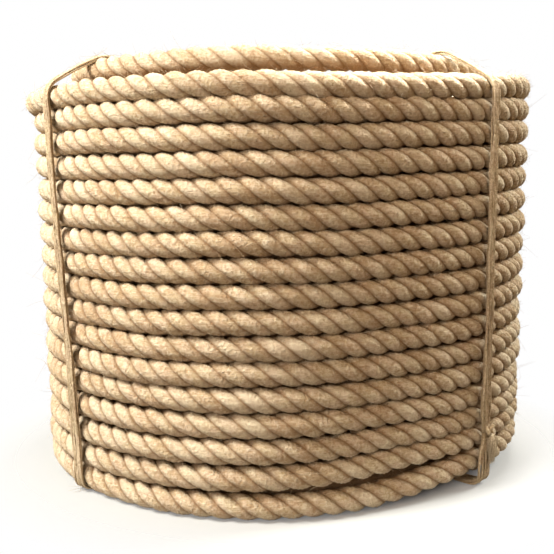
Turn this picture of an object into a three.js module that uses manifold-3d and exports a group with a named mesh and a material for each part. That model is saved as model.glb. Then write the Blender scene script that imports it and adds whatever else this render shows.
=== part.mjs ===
// A machine-wound coil of three-strand jute rope, standing on one end and held by four twine ties.
// Millimetres, +Z up. The origin is on the surface that the coil stands on, under its middle.
import * as THREE from 'three';
import { mergeVertices } from 'three/addons/utils/BufferGeometryUtils.js';
import Module from 'manifold-3d';

// The rope and how it is wound
const ropeDiameter = 12;
const rowCount = 17;
const layerCount = 8;
const layerStep = 10.6;
const outerRadius = 138;
const bodyHeight = 206.5;
const rowPitch = bodyHeight / rowCount;
const rowGroove = 3;
const rowFlat = 4.6;
const innerGroove = 2.2;
const endGroove = 3;
const restFlat = 6.6;
const restGroove = 2;

// The last turn, laid back over the top of the coil
const raisedRadius = 109;

// The twine ties, each with its azimuth at the foot and its lean by the time it reaches the rim
const twineWidth = 4.4;
const twineThickness = 2.4;
const clearance = 0.4;
const ties = [
  { foot: 220.5, lean: -6, knot: 'inside' },
  { foot: 320.5, lean: -0.5, knot: 'outside' },
  { foot: 42, lean: -3, knot: 'outside' },
  { foot: 139, lean: 4, knot: 'outside' },
];
const knotHalf = { across: 4.2, out: 3, along: 4.6 };
const knotHeights = { outside: 26, inside: 170 };
const tailLength = 17;
const tailSpread = 3;
const knotGap = 0.0008;

// The flat that the coil has taken where it has lain on its side
const sideFlat = { azimuth: 298, half: 43, depth: 8 };

// How finely the round shapes are faceted
const coilSegments = 24;
const lastTurnSides = 8;
const twineSides = 6;
const twineSteps = 41;

const raisedHeight = bodyHeight + clearance + ropeDiameter;
const holeRadius = outerRadius - ropeDiameter - (layerCount - 1) * layerStep;
const innermostRadius = holeRadius + ropeDiameter / 2;
const tieOffset = clearance + twineThickness / 2;
const channelDepth = twineThickness + 2 * clearance;
const channelWidth = twineWidth + 3 * clearance;

const wasm = await Module();
wasm.setup();

function solidOf(geometry) {
  const bare = geometry.index ? geometry.toNonIndexed() : geometry.clone();
  bare.deleteAttribute('normal');
  bare.deleteAttribute('uv');
  const merged = mergeVertices(bare, 1e-4);
  return new wasm.Manifold(new wasm.Mesh({
    numProp: 3,
    vertProperties: new Float32Array(merged.attributes.position.array),
    triVerts: new Uint32Array(merged.index.array),
  }));
}

function geometryOf(solid) {
  const { vertProperties, triVerts } = solid.getMesh();
  const geometry = new THREE.BufferGeometry();
  geometry.setAttribute('position', new THREE.BufferAttribute(vertProperties, 3));
  geometry.setIndex(new THREE.BufferAttribute(triVerts, 1));
  geometry.computeVertexNormals();
  return geometry;
}

// The wound body's section: rows up the outside, turns across the top, rows down the hole,
// and turns pressed flat across the bottom.
function coilProfile() {
  const points = [];
  const add = (radius, height) => points.push(new THREE.Vector2(radius, height));
  const shoulder = (rowPitch - rowFlat) / 2;
  const turnRadius = (layer) => innermostRadius + layer * layerStep;

  for (let row = 0; row < rowCount; row++) {
    const base = row * rowPitch;
    if (row > 0) add(outerRadius - rowGroove, base);
    add(outerRadius, base + shoulder);
    add(outerRadius, base + shoulder + rowFlat);
  }
  for (let layer = layerCount - 1; layer >= 0; layer--) {
    const radius = turnRadius(layer);
    add(radius + rowFlat / 2, bodyHeight);
    add(radius - rowFlat / 2, bodyHeight);
    if (layer > 0) add(radius - layerStep / 2, bodyHeight - endGroove);
  }
  for (let row = rowCount - 1; row >= 0; row--) {
    const base = row * rowPitch;
    add(holeRadius, base + rowPitch / 2);
    if (row > 0) add(holeRadius + innerGroove, base);
  }
  for (let layer = 0; layer < layerCount; layer++) {
    const radius = turnRadius(layer);
    if (layer > 0) add(radius - layerStep / 2, restGroove);
    add(radius - restFlat / 2, 0);
    add(radius + restFlat / 2, 0);
  }
  points.push(points[0].clone());
  return points;
}

// A shallow channel across the bottom, where a tie is pressed into the soft turns.
function channel(tie) {
  const length = outerRadius - holeRadius + 4 * ropeDiameter;
  const geometry = new THREE.BoxGeometry(length, channelWidth, 2 * channelDepth);
  geometry.translate((outerRadius + holeRadius) / 2, 0, 0);
  geometry.rotateZ(THREE.MathUtils.degToRad(tie.foot));
  return solidOf(geometry);
}

function coilGeometry() {
  const ring = new THREE.LatheGeometry(coilProfile(), coilSegments);
  ring.rotateX(Math.PI / 2);
  let coil = solidOf(ring);
  for (const tie of ties) coil = coil.subtract(channel(tie));
  return flattened(geometryOf(coil));
}

// The last turn is a plain ring of the rope's own thickness, flat underneath where it lies.
function lastTurnGeometry() {
  const points = [];
  for (let i = 0; i <= lastTurnSides; i++) {
    const angle = (2 * Math.PI * (i + 0.5)) / lastTurnSides;
    const reach = ropeDiameter / 2 / Math.cos(Math.PI / lastTurnSides);
    const radius = raisedRadius + reach * Math.cos(angle);
    const height = raisedHeight - ropeDiameter / 2 + reach * Math.sin(angle);
    points.push(new THREE.Vector2(radius, height));
  }
  points[lastTurnSides].copy(points[0]);
  const ring = new THREE.LatheGeometry(points, coilSegments);
  ring.rotateX(Math.PI / 2);
  return flattened(ring);
}

// One tie's loop round the ring's section, as points in its own upright plane.
function tieLoop() {
  const outside = outerRadius + tieOffset + 0.1;
  const inside = holeRadius * Math.cos(Math.PI / coilSegments) - tieOffset - 0.1;
  const under = clearance + twineThickness / 2;
  const over = bodyHeight + tieOffset + 0.2;
  const overRaised = raisedHeight + tieOffset + 0.1;
  const route = [
    [outside, 12], [outside, 90], [outside, 196],
    [outside, 203.3], [outerRadius - 1, 207.5], [outerRadius - 4, 209.2],
    [raisedRadius + 7, 218.6], [raisedRadius + 3, overRaised], [raisedRadius - 3, overRaised],
    [raisedRadius - 7, 219.2], [holeRadius + 12, over + 0.8], [holeRadius + 7, over],
    [holeRadius + 2.8, over], [inside, 202],
    [inside, 194], [inside, 90], [inside, 9],
    [inside, 4.6], [holeRadius - 0.8, 2], [holeRadius + 1.8, under], [holeRadius + 6, under],
    [outerRadius - 6, under], [outerRadius - 2, under], [outerRadius + 0.6, 2], [outside + 0.1, 4.8],
  ];
  const points = route.map(([radius, height]) => new THREE.Vector3(radius, 0, height));
  return new THREE.CatmullRomCurve3(points, true, 'centripetal');
}

// The part of a closed loop that runs from just after the knot round to just before it.
// It keeps the loop's own spacing, which is close at the bends and wide on the straights.
class OpenedLoop extends THREE.Curve {
  constructor(loop, start) {
    super();
    Object.assign(this, { loop, start });
  }

  getUtoTmapping(u) {
    return u;
  }

  getPoint(t, target = new THREE.Vector3()) {
    const along = this.start + knotGap + t * (1 - 2 * knotGap);
    return this.loop.getPoint(along - Math.floor(along), target);
  }
}

// How far round its loop a tie's knot sits, from 0 to 1.
function knotPlace(loop, knot) {
  const samples = 2000;
  let best = 0;
  let nearest = Infinity;
  for (let i = 0; i < samples; i++) {
    const point = loop.getPoint(i / samples);
    const sameSide = (knot === 'outside') === point.x > raisedRadius;
    const distance = Math.abs(point.z - knotHeights[knot]);
    if (sameSide && distance < nearest) {
      nearest = distance;
      best = i / samples;
    }
  }
  return best;
}

// How far the side flat lies in from the round. It is worked out at the coil's own facet corners
// and runs straight between them, so that the ties keep their clearance.
function flatDepth(azimuth, radius) {
  const facet = 360 / coilSegments;
  const corner = Math.floor(azimuth / facet) * facet;
  const depthAt = (angle) => {
    const away = Math.abs(THREE.MathUtils.euclideanModulo(angle - sideFlat.azimuth + 180, 360) - 180);
    if (away > sideFlat.half) return 0;
    return sideFlat.depth * 0.5 * (1 + Math.cos((Math.PI * away) / sideFlat.half));
  };
  const reach = THREE.MathUtils.clamp((radius - holeRadius) / (outerRadius - holeRadius), 0, 1);
  const share = (azimuth - corner) / facet;
  return reach * THREE.MathUtils.lerp(depthAt(corner), depthAt(corner + facet), share);
}

function flattened(geometry) {
  const position = geometry.attributes.position;
  for (let i = 0; i < position.count; i++) {
    const radius = Math.hypot(position.getX(i), position.getY(i));
    const turn = THREE.MathUtils.radToDeg(Math.atan2(position.getY(i), position.getX(i)));
    const azimuth = THREE.MathUtils.euclideanModulo(turn, 360);
    const share = 1 - flatDepth(azimuth, radius) / radius;
    position.setXYZ(i, share * position.getX(i), share * position.getY(i), position.getZ(i));
  }
  geometry.computeVertexNormals();
  return geometry;
}

function tieGeometry(tie) {
  const loop = tieLoop();
  const start = knotPlace(loop, tie.knot);
  const section = new THREE.Shape();
  for (let i = 0; i < twineSides; i++) {
    const angle = (2 * Math.PI * i) / twineSides;
    const x = (twineWidth / 2) * Math.cos(angle);
    const y = (twineThickness / 2) * Math.sin(angle);
    if (i === 0) section.moveTo(x, y);
    else section.lineTo(x, y);
  }
  section.closePath();
  const band = new THREE.ExtrudeGeometry(section, {
    steps: twineSteps,
    extrudePath: new OpenedLoop(loop, start),
  });

  const outward = tie.knot === 'outside' ? 1 : -1;
  const seat = loop.getPoint(start);
  const middle = seat.x + outward * (knotHalf.out - twineThickness / 2);
  const knot = new THREE.SphereGeometry(1, 8, 6);
  knot.scale(knotHalf.out, knotHalf.across, knotHalf.along);
  knot.translate(middle, 0, seat.z);
  let solid = solidOf(band).add(solidOf(knot));

  for (const side of [-1, 1]) {
    const tail = new THREE.CylinderGeometry(1.9, 1.1, tailLength, 5);
    tail.rotateX(Math.PI / 2);
    tail.rotateZ(Math.PI / 2);
    tail.scale(0.6, 1, 1);
    tail.translate(0, 0, -tailLength / 2);
    tail.rotateX(side * 0.14);
    tail.translate(middle + outward * 0.2, (side * tailSpread) / 2, seat.z - 1.5);
    solid = solid.add(solidOf(tail));
  }

  const geometry = geometryOf(solid);
  const position = geometry.attributes.position;
  const point = new THREE.Vector3();
  const upright = new THREE.Vector3(0, 0, 1);
  for (let i = 0; i < position.count; i++) {
    point.fromBufferAttribute(position, i);
    const climb = THREE.MathUtils.smoothstep(point.z, channelDepth, bodyHeight);
    const azimuth = tie.foot + tie.lean * climb;
    point.applyAxisAngle(upright, THREE.MathUtils.degToRad(azimuth));
    position.setXYZ(i, point.x, point.y, point.z);
  }
  return flattened(geometry);
}

const ropeMaterial = new THREE.MeshStandardMaterial({ color: 0xcdb086, roughness: 0.9, metalness: 0 });
const twineMaterial = new THREE.MeshStandardMaterial({ color: 0xb99a6e, roughness: 0.95, metalness: 0 });

const coiledRope = new THREE.Group();
const coil = new THREE.Mesh(coilGeometry(), ropeMaterial);
coil.name = 'rope_coil';
coiledRope.add(coil);

const lastTurn = new THREE.Mesh(lastTurnGeometry(), ropeMaterial.clone());
lastTurn.name = 'rope_last_turn';
coiledRope.add(lastTurn);

ties.forEach((tie, index) => {
  const mesh = new THREE.Mesh(tieGeometry(tie), twineMaterial.clone());
  mesh.name = `tie_${index + 1}`;
  coiledRope.add(mesh);
});

export default coiledRope;
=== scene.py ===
import math

import bpy
import numpy as np
from mathutils import Matrix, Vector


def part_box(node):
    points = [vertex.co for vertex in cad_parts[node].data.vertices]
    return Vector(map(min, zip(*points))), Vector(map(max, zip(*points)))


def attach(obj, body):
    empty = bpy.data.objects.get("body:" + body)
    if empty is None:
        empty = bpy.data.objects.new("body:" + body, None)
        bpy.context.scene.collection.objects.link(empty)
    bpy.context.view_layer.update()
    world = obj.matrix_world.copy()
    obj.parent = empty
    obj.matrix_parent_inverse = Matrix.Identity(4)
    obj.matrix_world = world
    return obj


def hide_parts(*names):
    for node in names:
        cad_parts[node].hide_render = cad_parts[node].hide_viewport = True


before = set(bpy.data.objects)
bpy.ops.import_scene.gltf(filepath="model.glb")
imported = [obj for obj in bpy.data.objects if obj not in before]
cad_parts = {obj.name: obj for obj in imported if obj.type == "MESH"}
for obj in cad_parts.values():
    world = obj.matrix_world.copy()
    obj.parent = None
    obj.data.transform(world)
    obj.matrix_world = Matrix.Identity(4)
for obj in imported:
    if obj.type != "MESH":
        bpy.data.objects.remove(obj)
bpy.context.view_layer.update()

# ---------------------------------------------------------------------------
# The camera stands a little below the coil's rim and looks slightly down at it.
# ---------------------------------------------------------------------------
scene = bpy.context.scene
UP = np.array([0.0, 0.0, 1.0])
EYE_DISTANCE = 0.5497
EYE_HEIGHT = 0.1730
EYE_DOWN = math.radians(7.74)
EYE_RIGHT = math.radians(-0.32)
EYE_ROLL = math.radians(-0.5)
SENSOR_WIDTH = 36.0
LENS = 60.5
NEAREST_SEEN = 0.01

forward = np.array(
    [
        math.sin(EYE_RIGHT) * math.cos(EYE_DOWN),
        math.cos(EYE_RIGHT) * math.cos(EYE_DOWN),
        -math.sin(EYE_DOWN),
    ]
)
level = np.cross(forward, UP)
level /= np.linalg.norm(level)
above = np.cross(level, forward)
side = math.cos(EYE_ROLL) * level + math.sin(EYE_ROLL) * above
above = np.cross(side, forward)

camera = bpy.data.objects.new("camera", bpy.data.cameras.new("camera"))
scene.collection.objects.link(camera)
placing = np.eye(4)
placing[:3, 0] = side
placing[:3, 1] = above
placing[:3, 2] = -forward
placing[:3, 3] = [0.0, -EYE_DISTANCE, EYE_HEIGHT]
camera.matrix_world = Matrix(placing)
camera.data.sensor_width = SENSOR_WIDTH
camera.data.lens = LENS
camera.data.clip_start = NEAREST_SEEN
scene.camera = camera

# ---------------------------------------------------------------------------
# The rope: one length of soft three-strand jute, wound in layers up and down a
# drum. The outermost layer climbs to the right, then the last turn is laid back
# over the top, a little way in from the rim. All of it is one line of winding.
# ---------------------------------------------------------------------------
coil_high = np.array(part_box("rope_coil")[1])

# The rope's section is three lobes, each an arc of a circle whose crown stands a little proud of
# the rope's nominal size. Its points crowd towards the grooves by a few degrees. Along the rope,
# the lobes' size, their lay and their tone wander, each with wavelengths of its own.
ROPE = 0.012
CROWN = 0.0064
LOBE = 0.645 * CROWN
STRANDS = 3
HALF_STRAND = 180.0 / STRANDS
CROWDING = 21.0
GROOVE_EDGE = 0.1
SWELL = 0.032
SWELL_WAVES = [0.021, 0.047, 0.11]
LAY = 0.0320
LAY_WANDER = 0.16
LAY_WAVES = [0.09, 0.17, 0.31]
TONE_SPREAD = 0.22
TONE_WAVES = [0.037, 0.083, 0.21, 0.9]
SWELL_SEED, TONE_SEED, LAY_SEED = 20, 40, 60

# The layers, which go up and down by turns, each a step further out than the one before.
LAYERS = 8
LAYER_STEP = 0.0106
ROWS = 17
ROW_STEP = 0.0121
UP_TURNS = 17.2
DOWN_TURNS = 16.8
STEP_HALF = 0.1
OUTER_LINE = coil_high[0] - ROPE / 2
INNER_LINE = OUTER_LINE - (LAYERS - 1) * LAYER_STEP
HOLE_RADIUS = INNER_LINE - ROPE / 2
BODY_TOP = coil_high[2]
FLOOR_LINE = 0.0066
TOP_LINE = 0.2005
INNER_START = -0.003
SAMPLES_PER_TURN = 240
SOFTENING = 9

# The outermost layer. Azimuths are in degrees from the viewer's side towards +X.
START_AZIMUTH = 115.0
CLIMB_AZIMUTH = 50.0
PHASE = (START_AZIMUTH - CLIMB_AZIMUTH) / 360.0
OUTER_TURNS = 18.28 - PHASE
OUTER_START = -0.0003
LEAVES_FLOOR = (0.90, 1.0)
SETTLE_FROM = -50.0
SETTLE_AWAY = [0.0, 50.0, 90.0, 130.0, 150.0, 360.0]
SETTLE_HEIGHTS = [-0.0024, -0.0012, 0.0020, 0.0044, 0.0046, -0.0024]
SETTLE_ENDS = 4.2
SETTLE_FADE = 2.2

# The last turn rises, steps in, winds inwards and sinks again between these azimuths, in degrees
# past the 17th row.
RISES = (135.0, 180.0)
STEPS_IN = (148.0, 218.0)
WINDS_IN = (218.0, 510.0)
SINKS = (390.0, 465.0)
RAISED_LINE = 0.2139
RAISED_TILT = 0.0012
RAISED_START = 0.1120
RAISED_INWARDS = 0.0055
END_DROP = 0.0028

# How the coil has settled: a flat side, a flare towards the top, unevenness, and a slack top row.
FLAT_MIDDLE = 28.0
FLAT_HALF = 43.0
FLAT_DEPTH = 0.0088
FLAT_SAG = 0.0009
FLARE = 0.0032
UNEVEN = 0.00035
UNEVEN_OUT_WAVES = [0.071, 0.113, 0.19, 0.31]
UNEVEN_UP_WAVES = [0.083, 0.137, 0.23]
UNEVEN_OUT_SEED, UNEVEN_UP_SEED = 3, 4
ABOVE_FLOOR = 0.004
SLACK_MIDDLE = -84.0
SLACK_HALF = 26.0
SLACK_TURNS = (16.3, 17.0)
SLACK = 0.0040
SLACK_DROOP = 0.0014
SINK_BEGINS = (15.9, 16.2)
SINK_ENDS = (17.4, 17.1)
TOP_SINK = 0.0008
SINK_ON_FLAT = 1.8

# The ties: where they stand and where they cross the rim, which side of the wall their knot is,
# and how much wider they spread low on the outside. Then how deep they mark the rope.
TIES = {
    "tie_1": {"foot": -49.5, "rim": -55.5, "knot": "inside", "spread": 1.25},
    "tie_2": {"foot": 50.5, "rim": 50.0, "knot": "outside", "spread": 1.9},
    "tie_3": {"foot": 132.0, "rim": 129.0, "knot": "outside", "spread": 1.3},
    "tie_4": {"foot": 229.0, "rim": 233.0, "knot": "outside", "spread": 1.3},
}
DENT = 0.0010
DENT_HALF = 0.005
DENT_ON_TOP = 0.6 * DENT
FOOT_LIFT = 0.0026
FOOT_REACH = 0.003
DENT_LEAN_FROM = 0.003


def ease(low, high, value):
    """A smooth step from 0 to 1 between two values: three squares less two cubes of the share."""
    share = np.clip((value - low) / (high - low), 0.0, 1.0)
    return share * share * (3.0 - 2.0 * share)


def wobble(along, wavelengths, seed):
    """A smooth unevenness: a sum of sines of the given wavelengths, each from a random start."""
    random = np.random.default_rng(seed)
    total = np.zeros_like(along)
    for wavelength in wavelengths:
        start = random.uniform(0, 2 * math.pi)
        total += np.sin(along * (2 * math.pi / wavelength) + start)
    return total / math.sqrt(len(wavelengths))


def turned_from(azimuth, middle):
    """Degrees from a middle azimuth, between -180 and 180."""
    return np.mod(azimuth - middle + 180.0, 360.0) - 180.0


def flat_share(azimuth):
    """How much of the side flat is felt at an azimuth, from 0 to 1: a raised cosine."""
    away = np.clip(turned_from(azimuth, FLAT_MIDDLE), -FLAT_HALF, FLAT_HALF)
    return 0.5 * (1.0 + np.cos(away * (math.pi / FLAT_HALF)))


def tie_azimuth(tie, low, height):
    """A tie's azimuth at a height: its foot's up to a low height, then leaning to its rim's."""
    return tie["foot"] + (tie["rim"] - tie["foot"]) * ease(low, BODY_TOP, height)


def slumped(radius, azimuth, height):
    """The radius of a point once the soft coil has settled: pressed in where it has lain on its
    side, and flared evenly with height, both growing from nothing at the hole."""
    reach = np.clip((radius - HOLE_RADIUS) / (coil_high[0] - HOLE_RADIUS), 0.0, 1.0)
    flare = FLARE * (height / BODY_TOP - 0.5)
    return radius + reach * (flare - FLAT_DEPTH * flat_share(azimuth))


def climb(turns, azimuth):
    """Height up the outer layer: a steady helix, plus the settling of its lowest turns, which lie
    flat round the back and step up at the front right."""
    settle = np.interp(np.mod(azimuth - SETTLE_FROM, 360.0), SETTLE_AWAY, SETTLE_HEIGHTS)
    fade = np.clip((SETTLE_ENDS - turns) / SETTLE_FADE, 0.0, 1.0)
    height = OUTER_START + ROW_STEP * turns + fade * settle - FLAT_SAG * flat_share(azimuth)
    lifted = (height - FLOOR_LINE) * ease(*LEAVES_FLOOR, turns)
    return np.maximum(FLOOR_LINE, FLOOR_LINE + lifted)


def layer_line(index):
    """Azimuth in degrees, radius and height along one layer of the winding."""
    going_up = index % 2 == 1
    outermost = index == LAYERS - 1
    total = OUTER_TURNS if outermost else (UP_TURNS if going_up else DOWN_TURNS)
    turns = np.arange(0.0, total, 1.0 / SAMPLES_PER_TURN)
    start = START_AZIMUTH if going_up else START_AZIMUTH + 360.0 * (UP_TURNS % 1.0)
    azimuth = start + 360.0 * turns
    radius = np.full_like(turns, INNER_LINE + index * LAYER_STEP)
    if index > 0:
        radius -= 0.5 * LAYER_STEP * (1.0 - ease(0.0, STEP_HALF, turns))
    if not outermost:
        radius += 0.5 * LAYER_STEP * ease(total - STEP_HALF, total, turns)
        rising = turns if going_up else total - turns
        height = np.clip(INNER_START + ROW_STEP * rising, FLOOR_LINE, TOP_LINE)
        return azimuth, radius, height
    height = climb(turns + PHASE, azimuth)
    over = azimuth - 360.0 * ROWS
    laid = RAISED_LINE + RAISED_TILT * np.cos(np.radians(azimuth))
    height += ease(*RISES, over) * (laid - height)
    height -= END_DROP * ease(*SINKS, over)
    radius += ease(*STEPS_IN, over) * (RAISED_START - radius)
    radius -= RAISED_INWARDS * ease(*WINDS_IN, over)
    return azimuth, radius, height


def soften(values, width):
    """A moving average with a raised-cosine weight over width samples each way, the ends held."""
    padded = np.pad(values, width, mode="edge")
    kernel = np.hanning(2 * width + 1)
    return np.convolve(padded, kernel / kernel.sum(), mode="same")[width:-width]


def placed(azimuth, radius, height):
    """Points from azimuths in degrees, radii and heights, by the sine and less the cosine."""
    turn = np.radians(azimuth)
    return np.stack([radius * np.sin(turn), -radius * np.cos(turn), height], axis=-1)


lines = [layer_line(index) for index in range(LAYERS)]
layer_starts = np.cumsum([0.0] + [len(line[0]) / SAMPLES_PER_TURN for line in lines])
azimuth_line, radius_line, height_line = (
    np.concatenate([line[part] for line in lines]) for part in range(3)
)
turn_count = np.arange(len(azimuth_line)) / SAMPLES_PER_TURN
outer_start = layer_starts[LAYERS - 1]
outer_turns = turn_count - outer_start + PHASE * (turn_count > outer_start)
radius_line = soften(radius_line, SOFTENING)
height_line = soften(height_line, SOFTENING)

# The winding is a little uneven, and its top row is slack at the left.
rough_along = np.cumsum(radius_line) * 2 * math.pi / SAMPLES_PER_TURN
lifted = height_line > FLOOR_LINE + ABOVE_FLOOR
radius_line += UNEVEN * wobble(rough_along, UNEVEN_OUT_WAVES, UNEVEN_OUT_SEED)
height_line += UNEVEN * wobble(rough_along, UNEVEN_UP_WAVES, UNEVEN_UP_SEED) * lifted
slack_here = (outer_turns > SLACK_TURNS[0]) & (outer_turns < SLACK_TURNS[1])
slack = np.exp(-((turned_from(azimuth_line, SLACK_MIDDLE) / SLACK_HALF) ** 2)) * slack_here
radius_line += SLACK * slack
sinking = ease(*SINK_BEGINS, outer_turns) * ease(*SINK_ENDS, outer_turns)
sinking = sinking * (1.0 + SINK_ON_FLAT * flat_share(azimuth_line))
height_line -= TOP_SINK * sinking + SLACK_DROOP * slack

# Each tie bites a little into the outer rows, and lies in a notch under the lowest turns.
for tie in TIES.values():
    stands = tie_azimuth(tie, DENT_LEAN_FROM, height_line)
    away = np.radians(turned_from(azimuth_line, stands)) * radius_line
    pinch = np.exp(-((away / DENT_HALF) ** 2))
    radius_line -= DENT * pinch * ((outer_turns > 0.0) & (outer_turns < UP_TURNS))
    height_line -= DENT_ON_TOP * pinch * (height_line > BODY_TOP)
    height_line += FOOT_LIFT * pinch * (height_line < FLOOR_LINE + FOOT_REACH)

radius_line = slumped(radius_line, azimuth_line, height_line)
rope_line = placed(azimuth_line, radius_line, height_line)
rope_steps = np.linalg.norm(np.diff(rope_line, axis=0), axis=1)
along_line = np.concatenate([[0.0], np.cumsum(rope_steps)])


def stretch(first_turn, last_turn, step):
    """The rope's middle line between two counts of turns, in even steps, and the lengths to it."""
    first, last = np.interp([first_turn, last_turn], turn_count, along_line)
    along = np.linspace(first, last, max(2, int(round((last - first) / step)) + 1))
    middle = np.stack([np.interp(along, along_line, rope_line[:, k]) for k in range(3)], axis=1)
    return middle, along


def unit(vectors):
    return vectors / np.linalg.norm(vectors, axis=-1, keepdims=True)


def frames(middle, outward):
    """Unit vectors along a line: forward, the given way made square to it, and the third one."""
    forward_way = unit(np.gradient(middle, axis=0))
    outward = unit(outward - (outward * forward_way).sum(axis=1, keepdims=True) * forward_way)
    return forward_way, outward, np.cross(forward_way, outward)


def rope_grid(middle, along, per_strand):
    """Points of a three-lobed section carried along a line and turned right-handed with the lay.
    Each lobe is an arc of a circle set off from the middle, so strands meet in a sharp groove.
    Its points crowd towards the grooves by a sine of their share of the lobe."""
    share = np.arange(per_strand) / per_strand - 0.5
    evenly = 2.0 * (HALF_STRAND - CROWDING) * share
    within = np.tile(CROWDING * np.sin(math.pi * share) + evenly, STRANDS)
    strand = np.repeat(np.arange(STRANDS), per_strand)
    angle = np.radians(within + 2.0 * HALF_STRAND * strand)
    offset = CROWN - LOBE
    across = np.radians(within)
    plain = offset * np.cos(across) + np.sqrt(LOBE**2 - (offset * np.sin(across)) ** 2)
    swells = [1.0 + SWELL * wobble(along, SWELL_WAVES, SWELL_SEED + k) for k in range(STRANDS)]
    swell = np.stack(swells, axis=1)
    in_groove = np.abs(within) > HALF_STRAND - GROOVE_EDGE
    beside = swell[:, (strand - 1) % STRANDS]
    size = plain * np.where(in_groove, 0.5 * (swell[:, strand] + beside), swell[:, strand])
    lay_turn = along * (2 * math.pi / LAY) + LAY_WANDER * wobble(along, LAY_WAVES, LAY_SEED)
    turned = angle + lay_turn[:, None]
    _, outward, square = frames(middle, middle * [1.0, 1.0, 0.0])
    spoke = np.cos(turned)[:, :, None] * outward[:, None, :]
    spoke = spoke + np.sin(turned)[:, :, None] * square[:, None, :]
    grid = middle[:, None, :] + size[:, :, None] * spoke
    groove = np.broadcast_to(np.abs(within) / HALF_STRAND, size.shape)
    wanders = [wobble(along, TONE_WAVES, TONE_SEED + k) for k in range(STRANDS)]
    tone = 0.5 + TONE_SPREAD * np.stack(wanders, axis=1)[:, strand]
    return grid, spoke, angle, groove, tone


def round_grid(middle, outward, radius, sides):
    """Points of a round tube along a line: circles of the given radii in the plane square to it."""
    angle = np.arange(sides) * (2 * math.pi / sides)
    _, outward, square = frames(middle, outward)
    spoke = np.cos(angle)[None, :, None] * outward[:, None, :]
    spoke = spoke + np.sin(angle)[None, :, None] * square[:, None, :]
    return middle[:, None, :] + np.reshape(radius, (-1, 1, 1)) * spoke, angle


def add_mesh(name, points, quads, triangles, smooth=True):
    """A mesh object at the origin from whole arrays of points, four-sided and three-sided faces."""
    mesh = bpy.data.meshes.new(name)
    mesh.vertices.add(len(points))
    mesh.vertices.foreach_set("co", np.ascontiguousarray(points, dtype=np.float32).ravel())
    corners = np.concatenate([quads.ravel(), triangles.ravel()]).astype(np.int32)
    sizes = np.concatenate([np.full(len(quads), 4), np.full(len(triangles), 3)])
    starts = np.concatenate([[0], np.cumsum(sizes)[:-1]]).astype(np.int32)
    mesh.loops.add(len(corners))
    mesh.loops.foreach_set("vertex_index", corners)
    mesh.polygons.add(len(sizes))
    mesh.polygons.foreach_set("loop_start", starts)
    mesh.update(calc_edges=True)
    mesh.polygons.foreach_set("use_smooth", np.full(len(sizes), smooth))
    piece = bpy.data.objects.new(name, mesh)
    scene.collection.objects.link(piece)
    return piece


def keep_above(points, lowest):
    """Lifts, in place, the points that would sink below a height."""
    points[..., 2] = np.maximum(points[..., 2], lowest)


def hair_radii(random, radius, spread, tip, amount, points):
    """Radii along many hairs, each of its own thickness and tapering evenly to a share of it."""
    thickness = radius * random.uniform(*spread, amount)
    return thickness[:, None] * np.linspace(1.0, tip, points)


FIBRE_SIDES = 3
FIBRE_MAP_STEP = 9.0
HARDLY_ANY_WAY = [0.31, 0.52, 0.79]
SHARP_FROM = 0.999


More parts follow.
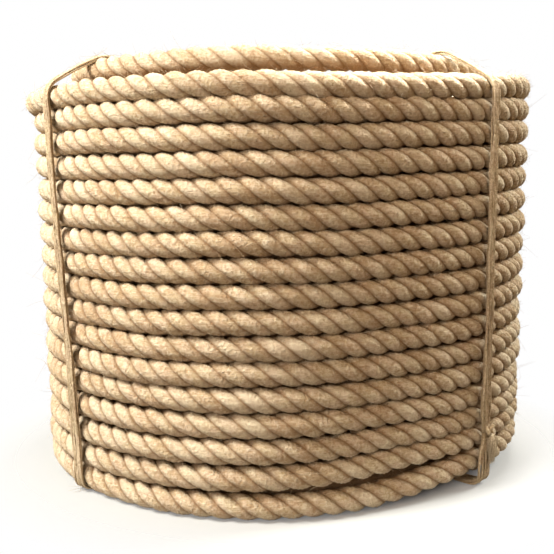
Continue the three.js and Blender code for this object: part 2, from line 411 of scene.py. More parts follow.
class Surface:
    """Tubes and spikes gathered into one mesh, with a fibre map and named numbers on its points."""

    def __init__(self):
        self.points, self.quads, self.triangles, self.maps = [], [], [], []
        self.numbers = {"groove": [], "hidden": [], "tone": []}
        self.count = 0

    def number(self, amount, **numbers):
        for name, parts in self.numbers.items():
            parts.append(np.broadcast_to(numbers[name], amount).ravel())

    def tube(self, grid, u, v, groove=0.0, hidden=0.0, tone=0.5):
        """Quads round a grid of rings, wound to face outwards, and a fan over each end."""
        rings, columns = grid.shape[:2]
        ring = np.arange(rings - 1)[:, None] * columns
        column = np.arange(columns)[None, :]
        right = (column + 1) % columns
        over = ring + columns
        quads = np.stack([ring + column, ring + right, over + right, over + column], axis=-1)
        near, far = rings * columns, rings * columns + 1
        last = (rings - 1) * columns
        column, right = column.ravel(), right.ravel()
        near_fan = np.stack([np.full(columns, near), right, column], axis=1)
        far_fan = np.stack([np.full(columns, far), last + column, last + right], axis=1)
        self.points += [grid.reshape(-1, 3), grid[[0, -1]].mean(axis=1)]
        self.quads.append(quads.reshape(-1, 4) + self.count)
        self.triangles.append(np.concatenate([near_fan, far_fan]) + self.count)
        self.number((rings, columns), groove=groove, hidden=hidden, tone=tone)
        # The end fans' middle points carry full groove and shade numbers: painted shade on the
        # hidden caps
        self.number(2, groove=1.0, hidden=1.0, tone=0.5)
        along = np.stack([u[:-1], u[:-1], u[1:], u[1:]], axis=1)
        along = np.repeat(along[:, None, :], columns, axis=1)
        around = np.stack([v[:-1, :-1], v[:-1, 1:], v[1:, 1:], v[1:, :-1]], axis=-1)
        self.maps.append(np.stack([along, around], axis=-1).reshape(-1, 2))
        self.count += rings * columns + 2

    def spikes(self, middles, radii, tone):
        """Many thin three-sided fibres at once, each along its own points, closed at both ends."""
        amount, steps = middles.shape[:2]
        forward_way = unit(middles[:, -1] - middles[:, 0])
        level = unit(np.cross(forward_way, HARDLY_ANY_WAY))
        third = np.cross(forward_way, level)
        angle = np.arange(FIBRE_SIDES) * (2 * math.pi / FIBRE_SIDES)
        ring = np.cos(angle)[:, None] * level[:, None, :]
        ring = ring + np.sin(angle)[:, None] * third[:, None, :]
        grid = middles[:, :, None, :] + radii[:, :, None, None] * ring[:, None, :, :]
        base = (np.arange(amount) * steps * FIBRE_SIDES)[:, None, None] + self.count
        step = (np.arange(steps - 1) * FIBRE_SIDES)[None, :, None]
        corner = np.arange(FIBRE_SIDES)[None, None, :]
        right = (corner + 1) % FIBRE_SIDES
        lower, upper = base + step, base + step + FIBRE_SIDES
        quads = np.stack([lower + corner, lower + right, upper + right, upper + corner], axis=-1)
        first = base[:, 0, 0]
        last = first + (steps - 1) * FIBRE_SIDES
        near = np.stack([first, first + 2, first + 1], axis=1)
        far = np.stack([last, last + 1, last + 2], axis=1)
        self.points.append(grid.reshape(-1, 3))
        self.quads.append(quads.reshape(-1, 4))
        self.triangles.append(np.concatenate([near, far]))
        self.number(
            (amount, steps, FIBRE_SIDES), groove=0.0, hidden=0.0, tone=tone[:, None, None]
        )
        place = np.repeat(tone, 4 * FIBRE_SIDES * (steps - 1))
        self.maps.append(np.stack([place, FIBRE_MAP_STEP * place], axis=1))
        self.count += amount * steps * FIBRE_SIDES

    def finish(self, name, material, slot, *nodes):
        """The mesh object, with its map, numbers and sharp grooves, riding with the coil."""
        quads, triangles = np.concatenate(self.quads), np.concatenate(self.triangles)
        piece = add_mesh(name, np.concatenate(self.points), quads, triangles)
        fibre = np.concatenate(self.maps + [np.zeros((triangles.size, 2))])
        layer = piece.data.uv_layers.new(name="fibre")
        layer.data.foreach_set("uv", fibre.astype(np.float32).ravel())
        for number, parts in self.numbers.items():
            attribute = piece.data.attributes.new(number, "FLOAT", "POINT")
            attribute.data.foreach_set("value", np.concatenate(parts).astype(np.float32))
        edges = np.empty(len(piece.data.edges) * 2, dtype=np.int32)
        piece.data.edges.foreach_get("vertices", edges)
        groove = np.concatenate(self.numbers["groove"])
        sharp = (groove[edges.reshape(-1, 2)] > SHARP_FROM).all(axis=1)
        mark = piece.data.attributes.new("sharp_edge", "BOOLEAN", "EDGE")
        mark.data.foreach_set("value", sharp)
        piece.data.materials.append(material)
        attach(piece, "root")
        if nodes:
            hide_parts(*nodes)
        return piece


def facing_away(spoke, middle, out, up):
    """How far each point of a rope faces away from the open side, from 0 to 1: half of one less the
    cosine between its spoke and the way out, part outwards from the axis and part up. The material
    paints shade in by this share."""
    open_way = unit(out * unit(middle * [1.0, 1.0, 0.0]) + [0.0, 0.0, up])
    return 0.5 - 0.5 * (spoke * open_way[:, None, :]).sum(axis=2)


LOWEST = 0.0002


def rope_piece(name, node, spans, step, per_strand, out, up):
    """Laid rope over one or more spans of turns, with its open side out or up and painted shade on
    the side turned away from it. Its fibre map runs straight along the rope."""
    surface = Surface()
    for first_turn, last_turn in spans:
        middle, along = stretch(first_turn, last_turn, step)
        grid, spoke, angle, groove, tone = rope_grid(middle, along, per_strand)
        keep_above(grid, LOWEST)
        around = np.append(angle, angle[0] + 2 * math.pi) / (2 * math.pi)
        v = (along / LAY)[:, None] + around[None, :]
        # The side turned away from the open side gets painted shade in the material
        hidden = facing_away(spoke, middle, out, up)
        surface.tube(grid, along, v, groove, hidden, tone)
    return surface.finish(name, jute, "rope", node)


class Graph:
    """A material's node tree, filled by short calls."""

    def __init__(self, name):
        self.material = bpy.data.materials.new(name)
        self.material.use_nodes = True
        self.tree = self.material.node_tree
        self.shader = self.tree.nodes["Principled BSDF"]

    def node(self, kind, settings=(), inputs=()):
        """A node with some properties set, and its inputs set or linked by name or number."""
        made = self.tree.nodes.new(kind)
        for key, value in dict(settings).items():
            setattr(made, key, value)
        for key, value in dict(inputs).items():
            self.give(made.inputs[key], value)
        return made

    def give(self, socket, value):
        if isinstance(value, bpy.types.NodeSocket):
            self.tree.links.new(value, socket)
        else:
            socket.default_value = value

    def maths(self, operation, *values):
        made = self.node("ShaderNodeMath", {"operation": operation})
        for socket, value in zip(made.inputs, values):
            self.give(socket, value)
        return made.outputs[0]

    def mix(self, share, first, second):
        made = self.node("ShaderNodeMix", {"data_type": "RGBA"})
        for socket, value in ((0, share), (6, first), (7, second)):
            self.give(made.inputs[socket], value)
        return made.outputs[2]

    def scaled(self, source, scale):
        return self.node("ShaderNodeMapping", {}, {"Vector": source, "Scale": scale}).outputs[0]

    def noise(self, vector, scale, detail, rough):
        inputs = {"Vector": vector, "Scale": scale, "Detail": detail, "Roughness": rough}
        return self.node("ShaderNodeTexNoise", {}, inputs).outputs[0]

    def span(self, value, low, high, to_low=0.0, to_high=1.0):
        inputs = {0: value, 1: low, 2: high, 3: to_low, 4: to_high}
        return self.node("ShaderNodeMapRange", {}, inputs).outputs[0]

    def named(self, name):
        return self.node("ShaderNodeAttribute", {"attribute_name": name}).outputs["Fac"]


STRAW = (0.61, 0.445, 0.282, 1.0)
PALE_STRAW = (0.86, 0.75, 0.57, 1.0)
BROWN_STRAW = (0.40, 0.245, 0.122, 1.0)
ROSY_STRAW = (0.65, 0.44, 0.31, 1.0)
GREEN_STRAW = (0.64, 0.53, 0.30, 1.0)
# A dark brown used as painted shade in the grooves and on the turned-away side, and as the colour
# of the dark specks
SHADE_AND_SPECK_BROWN = (0.25, 0.125, 0.045, 1.0)
SHEEN_STRAW = (1.0, 0.9, 0.72, 1.0)
TINT_SHARE = 0.45


def jute_finish(name, straw, pale, brown, streaks, painted_shade_depth):
    """Soft combed jute: pale and brown fibres in fine streaks, with painted shade making it browner
    in the grooves and on the side turned away, and a dull sheen."""
    graph = Graph(name)
    fibre = graph.node("ShaderNodeUVMap", {"uv_map": "fibre"}).outputs[0]
    place = graph.node("ShaderNodeTexCoord").outputs["Object"]
    broad = tuple(0.3 * scale for scale in streaks[:2]) + (1.0,)
    fine = graph.noise(graph.scaled(fibre, streaks), scale=1.0, detail=3.0, rough=0.65)
    yarn = graph.noise(graph.scaled(fibre, broad), scale=1.0, detail=2.0, rough=0.5)
    patch = graph.noise(place, scale=70.0, detail=3.0, rough=0.65)
    fluff = graph.noise(place, scale=620.0, detail=4.0, rough=0.7)
    speck = graph.noise(place, scale=1100.0, detail=1.0, rough=0.5)
    tint = graph.noise(place, scale=150.0, detail=2.0, rough=0.5)
    tone = graph.named("tone")
    colour = graph.mix(graph.span(tint, 0.40, 0.60), ROSY_STRAW, GREEN_STRAW)
    colour = graph.mix(TINT_SHARE, straw, colour)
    # Each coat: what it follows, from nothing at one value to its full share at another, its colour
    coats = [
        (fine, 0.40, 0.68, 0.7, pale),
        (yarn, 0.50, 0.72, 0.6, brown),
        (patch, 0.46, 0.70, 0.5, brown),
        (fluff, 0.52, 0.66, 0.75, pale),
        (fluff, 0.48, 0.34, 0.75, brown),
        (tone, 1.0, 1.5, 0.9, pale),
        (tone, 0.5, 0.95, 0.5, pale),
        (tone, 0.5, 0.05, 0.55, brown),
        (speck, 0.69, 0.76, 0.55, SHADE_AND_SPECK_BROWN),
    ]
    for follows, nothing, full, share, coat in coats:
        colour = graph.mix(graph.span(follows, nothing, full, 0.0, share), colour, coat)
    # Painted shade: the grooves between strands and the side turned away from the open side are
    # darkened towards the shade brown
    groove = graph.maths("POWER", graph.span(graph.named("groove"), 0.50, 1.0), 1.8)
    hidden = graph.span(graph.named("hidden"), 0.30, 0.62)
    for shade_mask in (groove, hidden):
        share = graph.maths("MULTIPLY", shade_mask, painted_shade_depth)
        colour = graph.mix(share, colour, SHADE_AND_SPECK_BROWN)
    relief = graph.maths("MULTIPLY", fine, 0.5)
    for bumps, depth in ((yarn, 0.5), (fluff, 2.0)):
        relief = graph.maths("ADD", relief, graph.maths("MULTIPLY", bumps, depth))
    bump = graph.node("ShaderNodeBump", {}, {"Strength": 1.0, "Distance": 0.0010, "Height": relief})
    graph.give(graph.shader.inputs["Base Color"], colour)
    graph.give(graph.shader.inputs["Roughness"], graph.span(fine, 0.3, 0.7, 0.95, 0.78))
    graph.give(graph.shader.inputs["Normal"], bump.outputs[0])
    graph.shader.inputs["Specular IOR Level"].default_value = 0.2
    graph.shader.inputs["Sheen Weight"].default_value = 0.2
    graph.shader.inputs["Sheen Roughness"].default_value = 0.5
    graph.shader.inputs["Sheen Tint"].default_value = SHEEN_STRAW
    return graph.material


JUTE_STREAKS = (230.0, 80.0, 1.0)
SPLIT_ROWS = 8.0
SPLIT_AZIMUTH = 310.0
LEAVES_AZIMUTH = 129.0
PATH_STEP = 0.02
TOP_SHOWN = 1.3
FOOT_SHOWN = 1.0
# Steps along the rope and points for each strand, finer where it is seen from closer
ROW_MESH = (0.0023, 8)
TOP_MESH = (0.0026, 8)
WALL_MESH = (0.003, 6)
FOOT_MESH = (0.0032, 6)

jute = jute_finish("laid_jute", STRAW, PALE_STRAW, BROWN_STRAW, JUTE_STREAKS, 0.85)
halfway = outer_start + SPLIT_ROWS + (SPLIT_AZIMUTH - START_AZIMUTH) / 360.0
leaves_row = outer_start + ROWS + (LEAVES_AZIMUTH - START_AZIMUTH) / 360.0
rope_end = layer_starts[LAYERS] - 2.0 / SAMPLES_PER_TURN

lower_span, upper_span = (outer_start, halfway), (halfway, leaves_row)
last_span = (leaves_row, rope_end)
rope_piece("rope_rows_lower", "rope_coil", [lower_span], *ROW_MESH, out=1.0, up=0.0)
rope_piece("rope_rows_upper", "rope_coil", [upper_span], *ROW_MESH, out=1.0, up=0.15)
last_turn = rope_piece(
    "laid_last_turn", "rope_last_turn", [last_span], *ROW_MESH, out=0.6, up=1.0
)
last_path, last_along = stretch(*last_span, PATH_STEP)

# Round each change of layer enough turns are laid rope to fill the coil's top and foot.
top_spans = [(layer_starts[k] - TOP_SHOWN, layer_starts[k] + TOP_SHOWN) for k in (2, 4, 6)]
foot_spans = [(layer_starts[k] - FOOT_SHOWN, layer_starts[k] + FOOT_SHOWN) for k in (3, 5)]
foot_spans.append((outer_start - FOOT_SHOWN, outer_start))
wall_span = (0.0, layer_starts[1] + FOOT_SHOWN)
rope_piece("rope_top_turns", "rope_coil", top_spans, *TOP_MESH, out=0.0, up=1.0)
rope_piece("rope_hole_wall", "rope_coil", [wall_span], *WALL_MESH, out=-1.0, up=0.3)
rope_piece("rope_foot_turns", "rope_coil", foot_spans, *FOOT_MESH, out=0.0, up=-1.0)

# The turns buried inside the coil are only seen as darkness between the rows, so they are plain,
# and their groove and shade numbers paint them dark brown as shade.
BURIED_RADIUS = 0.0058
BURIED_SIDES = 6
BURIED_STEP = 0.016
BURIED_LOWEST = 0.0004

shown = sorted([wall_span] + top_spans + foot_spans)
buried = Surface()
for before, after in zip(shown[:-1], shown[1:]):
    middle, along = stretch(before[1], after[0], BURIED_STEP)
    grid, angle = round_grid(middle, middle * [1.0, 1.0, 0.0], BURIED_RADIUS, BURIED_SIDES)
    keep_above(grid, BURIED_LOWEST)
    around = np.append(angle, 2 * math.pi) / (2 * math.pi)
    v = np.broadcast_to(around, (len(along), BURIED_SIDES + 1))
    buried.tube(grid, along, v, groove=0.9, hidden=0.5, tone=0.4)
buried.finish("rope_buried_turns", jute, "rope", "rope_coil")

# ---------------------------------------------------------------------------
# The rope's two cut ends, at the top of the hole and on top at the back. Neither
# is whipped, so the fibres of all three strands have come loose into a brush.
# ---------------------------------------------------------------------------
BRUSH_FIBRES = 700
BRUSH_LENGTHS = (0.005, 0.020)
BRUSH_RADIUS = 0.0056
BRUSH_INSET = 0.004
BRUSH_OPENING = 0.10
BRUSH_SPREAD = 55.0
BRUSH_WILDNESS = (0.2, 1.6)
BRUSH_CURL = 0.22
BRUSH_DROOP = 0.18
BRUSH_POINTS = 6
BRUSH_HAIR = 0.00013
BRUSH_TONES = (0.6, 1.4)
HOLE_END_LOWEST = 0.190
TOP_END_LOWEST = 0.2072


def brush(surface, tip, way, seed, floor):
    """Fibres from a disc across the cut: each runs the way of the rope, bends outwards with the
    square of its length, and droops, but not below the turns it lies on."""
    random = np.random.default_rng(seed)
    outward = unit(tip * [1.0, 1.0, 0.0])
    square = np.cross(way, outward)
    turn = random.uniform(0, 2 * math.pi, BRUSH_FIBRES)
    off = BRUSH_RADIUS * np.sqrt(random.uniform(0, 1, BRUSH_FIBRES))
    spoke = np.cos(turn)[:, None] * outward + np.sin(turn)[:, None] * square
    length = random.uniform(*BRUSH_LENGTHS, BRUSH_FIBRES)
    share = np.linspace(0.0, 1.0, BRUSH_POINTS)[None, :, None]
    reach = length[:, None, None] * share
    spread = BRUSH_OPENING + BRUSH_SPREAD * off * random.uniform(*BRUSH_WILDNESS, BRUSH_FIBRES)
    curl = unit(random.normal(size=(BRUSH_FIBRES, 3)))[:, None, :] * BRUSH_CURL
    bend = spread[:, None, None] * spoke[:, None, :] + curl
    root = tip - BRUSH_INSET * way + off[:, None, None] * spoke[:, None, :]
    middles = root + (reach + BRUSH_INSET * share) * way + reach * share * bend
    middles[:, :, 2] -= (reach * share * BRUSH_DROOP)[:, :, 0]
    keep_above(middles, floor)
    radii = hair_radii(random, BRUSH_HAIR, (0.7, 1.4), 0.35, BRUSH_FIBRES, BRUSH_POINTS)
    surface.spikes(middles, radii, random.uniform(*BRUSH_TONES, BRUSH_FIBRES))


frayed = Surface()
brush(frayed, rope_line[0], unit(rope_line[0] - rope_line[3]), 70, HOLE_END_LOWEST)
brush(frayed, last_path[-1], unit(rope_line[-3] - rope_line[-6]), 71, TOP_END_LOWEST)
frayed.finish("frayed_rope_ends", jute, "rope", "rope_coil")

# ---------------------------------------------------------------------------
# The four ties: flat twine of nearly straight jute yarns, passed through the hole
# and round the coil, and knotted. The knots' short tails have come apart.
# ---------------------------------------------------------------------------
TIE_OUTSIDE = coil_high[0] + 0.0017
TIE_INSIDE = HOLE_RADIUS * math.cos(math.radians(7.5)) - 0.0017
TIE_UNDER = 0.0016
TIE_OVER = BODY_TOP + 0.0018
RAISED_RADIUS = 0.109
RAISED_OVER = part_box("rope_last_turn")[1][2] + 0.0021
# Radius and height of each corner, from low on the outside up, over, down the hole and under
TIE_ROUTE = [
    [TIE_OUTSIDE, 0.0120], [TIE_OUTSIDE, 0.0900], [TIE_OUTSIDE, 0.1960],
    [TIE_OUTSIDE, 0.2033], [0.1370, 0.2075], [0.1340, 0.2092],
    [0.1160, 0.2188], [0.1120, RAISED_OVER], [0.1060, RAISED_OVER],
    [0.1020, 0.2194], [0.0638, 0.2091], [0.0588, TIE_OVER],
    [0.0546, TIE_OVER], [TIE_INSIDE, 0.2020],
    [TIE_INSIDE, 0.1940], [TIE_INSIDE, 0.0900], [TIE_INSIDE, 0.0090],
    [TIE_INSIDE, 0.0046], [0.0510, 0.0020], [0.0536, TIE_UNDER], [0.0578, TIE_UNDER],
    [0.1320, TIE_UNDER], [0.1360, TIE_UNDER], [0.1386, 0.0020], [TIE_OUTSIDE, 0.0048],
]
TIE_STEP = 0.0024
LEAN_FROM = 0.0032
CORNER_BLEND = np.array([0.25, 0.5, 0.25])

# The yarns of a tie lie in two ranks, fewer behind, and draw together at the knot.
FRONT_YARNS = 8
BACK_YARNS = 5
YARN_RADIUS = 0.00052
YARN_SIDES = 5
YARN_TWIST = 0.03
YARN_LOWEST = 0.0008
RANK_HALF = 0.0025
BACK_RANK = 0.78
# The back rank is painted a little darker, as shade behind the front one
BACK_PAINTED_SHADE = 0.35
RANK_OUT = {"front": 0.00055, "back": -0.00045}
YARN_WANDER = 0.00035
YARN_LIFT = 0.00022
YARN_SWELL = 0.12
YARN_TONE = 0.3
SPREAD_HIGHEST = 0.09
SPREAD_OUTSIDE = 0.120
SPREAD_GROWS = (0.085, 0.02)
GATHER_LENGTH = 0.012
GATHERED = 0.45

# The knot, on whichever side of the wall it is, and the frayed tails that hang from it.
KNOT_HEIGHTS = {"outside": 0.029, "inside": 0.170}
KNOT_SHIFT = 0.0024
KNOT_ACROSS = 0.00118
KNOT_RISE = 0.00125
KNOT_OUT = (0.0012, 0.0011)
KNOT_TWINE = 0.00105
KNOT_LENGTH = 0.05
KNOT_POINTS = 73
KNOT_SIDES = 10
TAIL_FIBRES = 130
TAIL_POINTS = 7
TAIL_LENGTH = 0.017
TAIL_SHARES = (0.45, 1.0)
TAIL_ROOT = 0.0005
TAIL_SWELL = 0.0022
TAIL_LOOSE = 0.0012
TAIL_OUT = (0.0026, 0.0008)
TAIL_DROP = 0.001
TAIL_HAIR = 0.00019
TAIL_TONES = (1.2, 1.6)
TAIL_LEANS = ((0.04, 80), (0.22, 81))

# The loose fibres along a tie, none of them close to its knot.
TIE_HAIRS = 200
TIE_HAIR = 0.00010
TIE_HAIR_LENGTHS = (0.004, 0.013)
TIE_HAIR_LIFTS = (0.02, 0.22)
TIE_HAIR_SWING = 0.22
TIE_HAIR_ACROSS = (-0.0024, 0.0024)
TIE_HAIR_OUT = (0.0004, 0.0012)
TIE_HAIR_TONES = (0.4, 1.0)
TIE_HAIR_POINTS = 6
TIE_HAIR_ENDS = 12
HAIR_LOWEST = 0.0003


def tie_line(tie):
    """A tie's middle line, opened at its knot: the route round the coil in its own upright
    plane, with its corners softened, leaned in azimuth as it rises, and settled with the coil."""
    corners = np.array(TIE_ROUTE + TIE_ROUTE[:1])
    sides = np.linalg.norm(np.diff(corners, axis=0), axis=1)
    lengths = np.concatenate([[0.0], np.cumsum(sides)])
    amount = int(round(lengths[-1] / TIE_STEP))
    at = np.arange(amount) * (lengths[-1] / amount)
    route = [np.interp(at, lengths, corners[:, k]) for k in range(2)]
    for _ in range(2):
        route = [
            np.convolve(np.pad(values, 1, mode="wrap"), CORNER_BLEND, mode="valid")
            for values in route
        ]
    radius, height = route
    right_side = (radius > RAISED_RADIUS) == (tie["knot"] == "outside")
    off = np.abs(height - KNOT_HEIGHTS[tie["knot"]]) + np.where(right_side, 0.0, 1.0)
    start = int(np.argmin(off))
    radius, height = (np.append(np.roll(values, -start), values[start]) for values in route)
    azimuth = tie_azimuth(tie, LEAN_FROM, height)
    middle = placed(azimuth, slumped(radius, azimuth, height), height)
    turn = np.radians(azimuth)
    side_way = np.stack([np.cos(turn), np.sin(turn), np.zeros_like(turn)], axis=-1)
    return middle, side_way


def twine_knot(surface, seat, side_way, out_way):
    """An overhand knot, drawn up flat: across it adds one round and two rounds, upwards it takes
    two rounds from one, and it goes in and out three times."""
    turn = np.linspace(0.0, 2 * math.pi, KNOT_POINTS)
    across = KNOT_ACROSS * (np.sin(turn) + 2.0 * np.sin(2.0 * turn))
    rise = KNOT_RISE * (np.cos(turn) - 2.0 * np.cos(2.0 * turn))
    out = KNOT_OUT[0] - KNOT_OUT[1] * np.sin(3.0 * turn)
    line = seat + np.outer(across, side_way) + np.outer(rise, UP) + np.outer(out, out_way)
    along = np.linspace(0.0, KNOT_LENGTH, len(line))
    facing = np.broadcast_to(out_way, line.shape)
    grid, angle = round_grid(line, facing, KNOT_TWINE, KNOT_SIDES)
    around = np.append(angle, 2 * math.pi) * 0.2
    v = np.broadcast_to(around, (len(line), KNOT_SIDES + 1))
    surface.tube(grid, along, v, groove=0.3, hidden=0.15, tone=0.55)


def twine_tail(surface, seat, side_way, out_way, lean, seed):
    """A frayed tail hanging from the knot: fibres that start together, open to half way and come
    together again in a point."""
    random = np.random.default_rng(seed)
    share = np.linspace(0.0, 1.0, TAIL_POINTS)[None, :]
    length = TAIL_LENGTH * random.uniform(*TAIL_SHARES, TAIL_FIBRES)[:, None]
    bulge = np.sin(math.pi * np.clip(share * 1.1, 0.0, 1.0)) ** 1.2
    swell = TAIL_ROOT + TAIL_SWELL * bulge
    across = random.normal(size=TAIL_FIBRES)[:, None] * 0.6 * swell + lean * share * length
    loose = random.normal(size=TAIL_FIBRES)[:, None] * TAIL_LOOSE * share**2
    out = random.uniform(-0.6, 1.0, TAIL_FIBRES)[:, None] * swell * 0.9
    out = TAIL_OUT[0] + out - TAIL_OUT[1] * share
    middles = seat + (across + loose)[:, :, None] * side_way + out[:, :, None] * out_way
    middles = middles + (-TAIL_DROP - length * share)[:, :, None] * UP
    radii = hair_radii(random, TAIL_HAIR, (0.7, 1.3), 0.3, TAIL_FIBRES, TAIL_POINTS)
    surface.spikes(middles, radii, random.uniform(*TAIL_TONES, TAIL_FIBRES))


def loose_fibres(surface, middle, side_way, amount, seed):
    """Fibres lying along a tie and lifting away from it with the square of their length."""
    random = np.random.default_rng(seed)
    outward = np.cross(side_way, np.gradient(middle, axis=0))
    forward_way, out_way, _ = frames(middle, outward)
    start = random.integers(TIE_HAIR_ENDS, len(middle) - TIE_HAIR_ENDS - 1, amount)
    way = np.where(random.uniform(size=amount) < 0.5, 1.0, -1.0)[:, None]
    share = np.linspace(0.0, 1.0, TIE_HAIR_POINTS)[None, :, None]
    length = random.uniform(*TIE_HAIR_LENGTHS, amount)[:, None, None]
    lift = random.uniform(*TIE_HAIR_LIFTS, amount)[:, None, None]
    swing = random.normal(size=amount)[:, None, None] * TIE_HAIR_SWING
    seat = middle[start] + side_way[start] * random.uniform(*TIE_HAIR_ACROSS, amount)[:, None]
    seat = seat + out_way[start] * random.uniform(*TIE_HAIR_OUT, amount)[:, None]
    bend = lift * out_way[start][:, None, :] + swing * side_way[start][:, None, :]
    middles = seat[:, None, :] + length * share * (way * forward_way[start])[:, None, :]
    middles = middles + length * share**2 * bend
    keep_above(middles, HAIR_LOWEST)
    radii = hair_radii(random, TIE_HAIR, (0.6, 1.5), 0.4, amount, TIE_HAIR_POINTS)
    surface.spikes(middles, radii, random.uniform(*TIE_HAIR_TONES, amount))


def twine_yarn(surface, middle, side_way, out_way, fan, along, yarn, seed):
    """One of a tie's yarns in its place in the front or back rank, wandering a little."""
    front = yarn < FRONT_YARNS
    rank = yarn if front else yarn - FRONT_YARNS
    ranks = FRONT_YARNS if front else BACK_YARNS
    across = RANK_HALF * (2.0 * rank / (ranks - 1) - 1.0) * (1.0 if front else BACK_RANK)
    wander = YARN_WANDER * wobble(along, [0.041, 0.093, 0.17], seed + yarn)
    out = RANK_OUT["front" if front else "back"]
    out = out + YARN_LIFT * wobble(along, [0.023, 0.061], seed + 20 + yarn)
    line = middle + (fan * (across + wander))[:, None] * side_way + out[:, None] * out_way
    keep_above(line, YARN_LOWEST)
    radius = YARN_RADIUS * (1.0 + YARN_SWELL * wobble(along, [0.019, 0.05], seed + 40 + yarn))
    grid, angle = round_grid(line, out_way, radius, YARN_SIDES)
    around = np.append(angle, 2 * math.pi)[None, :] / (2 * math.pi)
    tone = (0.5 + YARN_TONE * wobble(along, [0.07, 0.3], seed + 60 + yarn))[:, None]
    v = (along / YARN_TWIST)[:, None] + around + yarn
    # The back rank gets painted shade
    surface.tube(grid, along, v, hidden=0.0 if front else BACK_PAINTED_SHADE, tone=tone)


def twine_tie(name, tie, seed):
    """A tie's yarns side by side in two ranks, spread wider at the foot, its knot, its frayed
    tails and its loose fibres."""
    surface = Surface()
    middle, side_way = tie_line(tie)
    along = np.arange(len(middle)) * TIE_STEP
    out_way = unit(np.cross(side_way, np.gradient(middle, axis=0)))
    height, reach = middle[:, 2], np.hypot(middle[:, 0], middle[:, 1])
    low_outside = (height < SPREAD_HIGHEST) & (reach > SPREAD_OUTSIDE)
    fan = 1.0 + (tie["spread"] - 1.0) * low_outside * ease(*SPREAD_GROWS, height)
    leaving = ease(0.0, GATHER_LENGTH, along)
    coming = ease(along[-1], along[-1] - GATHER_LENGTH, along)
    fan = fan * (GATHERED + (1.0 - GATHERED) * np.minimum(leaving, coming))
    for yarn in range(FRONT_YARNS + BACK_YARNS):
        twine_yarn(surface, middle, side_way, out_way, fan, along, yarn, seed)
    seat = middle[0] + KNOT_SHIFT * side_way[0]
    twine_knot(surface, seat, side_way[0], out_way[0])
    for lean, extra in TAIL_LEANS:
        twine_tail(surface, seat, side_way[0], out_way[0], lean, seed + extra)
    loose_fibres(surface, middle, side_way, TIE_HAIRS, seed + 90)
    return surface.finish(f"twine_{name}", twine, "twine", name)


TWINE_STRAW = (0.56, 0.41, 0.25, 1.0)
TWINE_PALE = (0.80, 0.66, 0.46, 1.0)
TWINE_BROWN = (0.36, 0.24, 0.13, 1.0)
TWINE_STREAKS = (110.0, 9.0, 1.0)
twine = jute_finish("tie_twine", TWINE_STRAW, TWINE_PALE, TWINE_BROWN, TWINE_STREAKS, 0.6)
for order, (name, tie) in enumerate(TIES.items()):
    twine_tie(name, tie, 200 + 100 * order)

# ---------------------------------------------------------------------------
# Stray fibres: jute sheds, so short hairs stand off every exposed turn and a few
# longer ones lie across the rows. They lift from the strands they were laid in.
# ---------------------------------------------------------------------------
STRAY_ROOT = 0.0054
STRAY_HALF_ANGLE = 75.0
STRAY_TWIST = 0.9
STRAY_RISE = (0.10, 0.75)
STRAY_CURL = (0.1, 0.6)
STRAY_HAIR = 0.000075
STRAY_TONES = (0.3, 1.0)
STRAY_STEP = 0.002


def stray_fibres(name, span, amount, out, up, lengths, points, seed):
    """Hairs rooted at random on the open side of a stretch of rope. Each sets off between the
    way of its strand and straight out, and bends with the square of its length."""
    random = np.random.default_rng(seed)
    middle, along = stretch(*span, STRAY_STEP)
    forward_way, outward, _ = frames(middle, middle * [1.0, 1.0, 0.0])
    at = random.integers(2, len(along) - 2, amount)
    open_way = unit(out * outward[at] + up * UP)
    other = unit(np.cross(forward_way[at], open_way))
    turn = np.radians(random.uniform(-STRAY_HALF_ANGLE, STRAY_HALF_ANGLE, amount))[:, None]
    spoke = np.cos(turn) * open_way + np.sin(turn) * other
    seat = middle[at] + STRAY_ROOT * spoke
    strand_way = unit(forward_way[at] + STRAY_TWIST * np.cross(forward_way[at], spoke))
    way = np.where(random.uniform(size=amount) < 0.5, 1.0, -1.0)[:, None] * strand_way
    steep = random.uniform(*STRAY_RISE, amount)[:, None] ** 1.4
    set_off = unit(way + steep * spoke)[:, None, :]
    share = np.linspace(0.0, 1.0, points)[None, :, None]
    length = random.uniform(*lengths, amount)[:, None, None]
    curl = unit(random.normal(size=(amount, 3)))[:, None, :]
    curl = curl * random.uniform(*STRAY_CURL, (amount, 1, 1))
    middles = seat[:, None, :] + length * share * set_off + length * share**2 * curl
    keep_above(middles, HAIR_LOWEST)
    radii = hair_radii(random, STRAY_HAIR, (0.6, 1.4), 0.35, amount, points)
    surface = Surface()
    surface.spikes(middles, radii, random.uniform(*STRAY_TONES, amount))
    return surface.finish(name, jute, "rope", "rope_coil")


# Each sort: its stretch of rope, amount, open side out and up, lengths, points a hair and seed
STRAY_SORTS = {
    "short": ((outer_start, rope_end), 9500, 1.0, 0.2, (0.0015, 0.0055), 3, 500),
    "top": ((leaves_row - 0.9, rope_end), 900, 0.4, 1.0, (0.002, 0.008), 4, 501),
    "long": ((outer_start + 1.0, rope_end), 700, 1.0, 0.3, (0.006, 0.014), 5, 502),
}
for sort, settings in STRAY_SORTS.items():
    stray_fibres(f"stray_fibres_{sort}", *settings)

# ---------------------------------------------------------------------------
# The floor fades out into the white of the studio a little way from the coil.
# ---------------------------------------------------------------------------
FLOOR_RADIUS = 1.0
FLOOR_SIDES = 64
FLOOR_PAINT = (0.42, 0.42, 0.41, 1.0)
FADE_FROM = 0.115
FADE_TO = 0.19


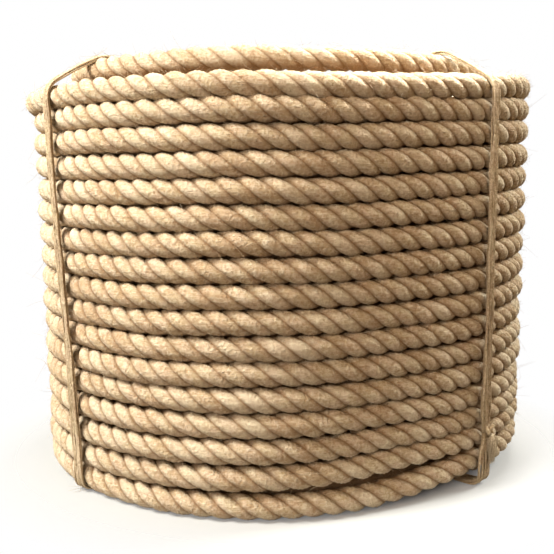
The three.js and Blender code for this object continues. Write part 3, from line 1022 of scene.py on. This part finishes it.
def floor_finish():
    """Matt pale paint near the middle, passing into nothing with distance from it."""
    graph = Graph("pale_floor")
    graph.shader.inputs["Base Color"].default_value = FLOOR_PAINT
    graph.shader.inputs["Roughness"].default_value = 0.9
    place = graph.node("ShaderNodeTexCoord").outputs["Object"]
    away = graph.node("ShaderNodeVectorMath", {"operation": "LENGTH"}, {0: place}).outputs["Value"]
    clear = graph.node("ShaderNodeBsdfTransparent").outputs[0]
    either = graph.node("ShaderNodeMixShader", {}, {0: graph.span(away, FADE_FROM, FADE_TO)})
    graph.tree.links.new(graph.shader.outputs[0], either.inputs[1])
    graph.tree.links.new(clear, either.inputs[2])
    graph.tree.links.new(either.outputs[0], graph.tree.nodes["Material Output"].inputs[0])
    return graph.material


turn = np.arange(FLOOR_SIDES) * (360.0 / FLOOR_SIDES)
floor_rim = placed(turn, FLOOR_RADIUS, np.zeros(FLOOR_SIDES))
floor_points = np.concatenate([floor_rim, [[0.0, 0.0, 0.0]]])
rim = np.arange(FLOOR_SIDES)
floor_fan = np.stack([rim, (rim + 1) % FLOOR_SIDES, np.full(FLOOR_SIDES, FLOOR_SIDES)], axis=1)
floor = add_mesh("floor", floor_points, np.zeros((0, 4), int), floor_fan, smooth=False)
floor.data.materials.append(floor_finish())

# ---------------------------------------------------------------------------
# The light: a key lamp high at the left, a big one over the back, a low warm fill
# at the left, a weak warm lamp in front and a cool one at the right edge, under a
# dim warm sky. The camera sees plain white behind it all.
# ---------------------------------------------------------------------------
SKY = (1.0, 0.74, 0.50, 1.0)
SKY_STRENGTH = 0.18
WHITE = (1.0, 1.0, 1.0, 1.0)
# Each soft lamp's azimuth, elevation, distance, size, power and colour
SOFT_LAMPS = {
    "lamp_key": (-64.0, 46.0, 0.85, 0.30, 16.6, (1.0, 0.985, 0.91)),
    "lamp_top": (150.0, 66.0, 1.1, 0.5, 14.0, (1.0, 0.98, 0.92)),
    "lamp_fill": (-30.0, 10.0, 1.0, 0.6, 4.4, (1.0, 0.89, 0.77)),
    "lamp_front": (28.0, 38.0, 0.60, 0.35, 0.95, (1.0, 0.74, 0.49)),
    "lamp_edge": (106.0, 34.0, 1.0, 0.25, 11.6, (0.97, 1.0, 0.94)),
}
CROWN_LAMP_PLACE = (0.062, -0.092, 0.65)
CROWN_LAMP_COLOUR = (1.0, 0.99, 0.94)
CROWN_LAMP_POWER = 36.0
CROWN_LAMP_CONE = math.radians(20.0)
CROWN_LAMP_BLEND = 0.7
CROWN_LAMP_SOFTNESS = 0.04

world = bpy.data.worlds.new("studio")
scene.world = world
world.use_nodes = True
nodes = world.node_tree.nodes
links = world.node_tree.links
soft_sky = nodes["Background"]
soft_sky.inputs[0].default_value = SKY
soft_sky.inputs[1].default_value = SKY_STRENGTH
backdrop = nodes.new("ShaderNodeBackground")
backdrop.inputs[0].default_value = WHITE
seen = nodes.new("ShaderNodeLightPath")
either = nodes.new("ShaderNodeMixShader")
links.new(seen.outputs["Is Camera Ray"], either.inputs[0])
links.new(soft_sky.outputs[0], either.inputs[1])
links.new(backdrop.outputs[0], either.inputs[2])
links.new(either.outputs[0], nodes["World Output"].inputs[0])


def add_lamp(name, kind, power, colour):
    """A lamp of a kind, a power and a colour, and the object that holds it."""
    lamp = bpy.data.lights.new(name, kind)
    lamp.energy = power
    lamp.color = colour
    holder = bpy.data.objects.new(name, lamp)
    scene.collection.objects.link(holder)
    return lamp, holder


def softbox(name, azimuth, elevation, distance, size, power, colour):
    """A square lamp aimed at the coil's middle from an azimuth, an elevation and a distance."""
    lamp, holder = add_lamp(name, "AREA", power, colour)
    lamp.size = size
    rise = math.radians(elevation)
    away = placed(azimuth, math.cos(rise), math.sin(rise))
    across = unit(np.cross(UP, away))
    matrix = np.eye(4)
    matrix[:3, 0], matrix[:3, 1], matrix[:3, 2] = across, np.cross(away, across), away
    matrix[:3, 3] = 0.5 * BODY_TOP * UP + away * distance
    holder.matrix_world = Matrix(matrix)


for name, settings in SOFT_LAMPS.items():
    softbox(name, *settings)

# A narrow lamp straight over the front right of the rim bleaches the crest of its top row.
crown_lamp, crown_holder = add_lamp("lamp_crown", "SPOT", CROWN_LAMP_POWER, CROWN_LAMP_COLOUR)
crown_lamp.spot_size = CROWN_LAMP_CONE
crown_lamp.spot_blend = CROWN_LAMP_BLEND
crown_lamp.shadow_soft_size = CROWN_LAMP_SOFTNESS
crown_holder.location = CROWN_LAMP_PLACE

scene.view_settings.view_transform = "Standard"
